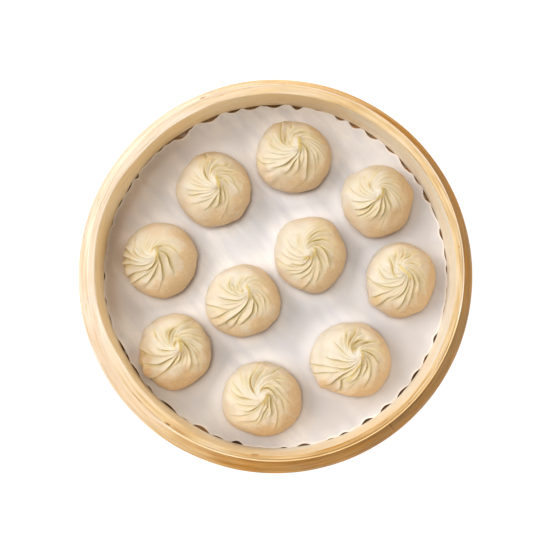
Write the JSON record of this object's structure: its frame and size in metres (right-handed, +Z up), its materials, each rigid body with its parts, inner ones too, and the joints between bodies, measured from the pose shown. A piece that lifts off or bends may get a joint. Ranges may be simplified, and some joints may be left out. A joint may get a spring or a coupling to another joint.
{
  "type": "xiaolongbao soup dumplings in a bamboo steamer tier",
  "caption": "Pleated soup dumplings standing on a scalloped paper liner in one open tier of a round bamboo steamer, with a slatted floor and a raised stacking lip.",
  "frame": {"origin": "centre of the tier's footprint on the surface it stands on", "axes": "+Z up out of the open tier, +Y to its far side, +X to its right; the hoop's butt joint is at the front right and the inner board's splice at the front left"},
  "size_m": [0.254, 0.254, 0.062],
  "materials": {
    "bamboo": "bare split bamboo, dry and fine grained",
    "bamboo_skin": "scraped bamboo skin, slightly shiny",
    "liner_paper": "matt greaseproof paper, softened by steam",
    "steamed_dough": "steamed wheat dough, slightly translucent with a soft satin sheen"
  },
  "bodies": {
    "root": {"outer_hoop": "bamboo", "lip_strip": "bamboo", "inner_hoop": "bamboo", "floor_ring": "bamboo", "floor_bar_1": "bamboo", "floor_bar_2": "bamboo", "floor_bar_3": "bamboo", "floor_slat_01": "bamboo", "floor_slat_02": "bamboo", "floor_slat_03": "bamboo", "floor_slat_04": "bamboo", "floor_slat_05": "bamboo", "floor_slat_06": "bamboo", "floor_slat_07": "bamboo", "floor_slat_08": "bamboo", "floor_slat_09": "bamboo", "floor_slat_10": "bamboo", "floor_slat_11": "bamboo", "outer_wrap": "bamboo_skin", "paper_liner": "liner_paper", "dumpling_01": "steamed_dough", "dumpling_02": "steamed_dough", "dumpling_03": "steamed_dough", "dumpling_04": "steamed_dough", "dumpling_05": "steamed_dough", "dumpling_06": "steamed_dough", "dumpling_07": "steamed_dough", "dumpling_08": "steamed_dough", "dumpling_09": "steamed_dough", "dumpling_10": "steamed_dough"}
  },
  "joints": []
}
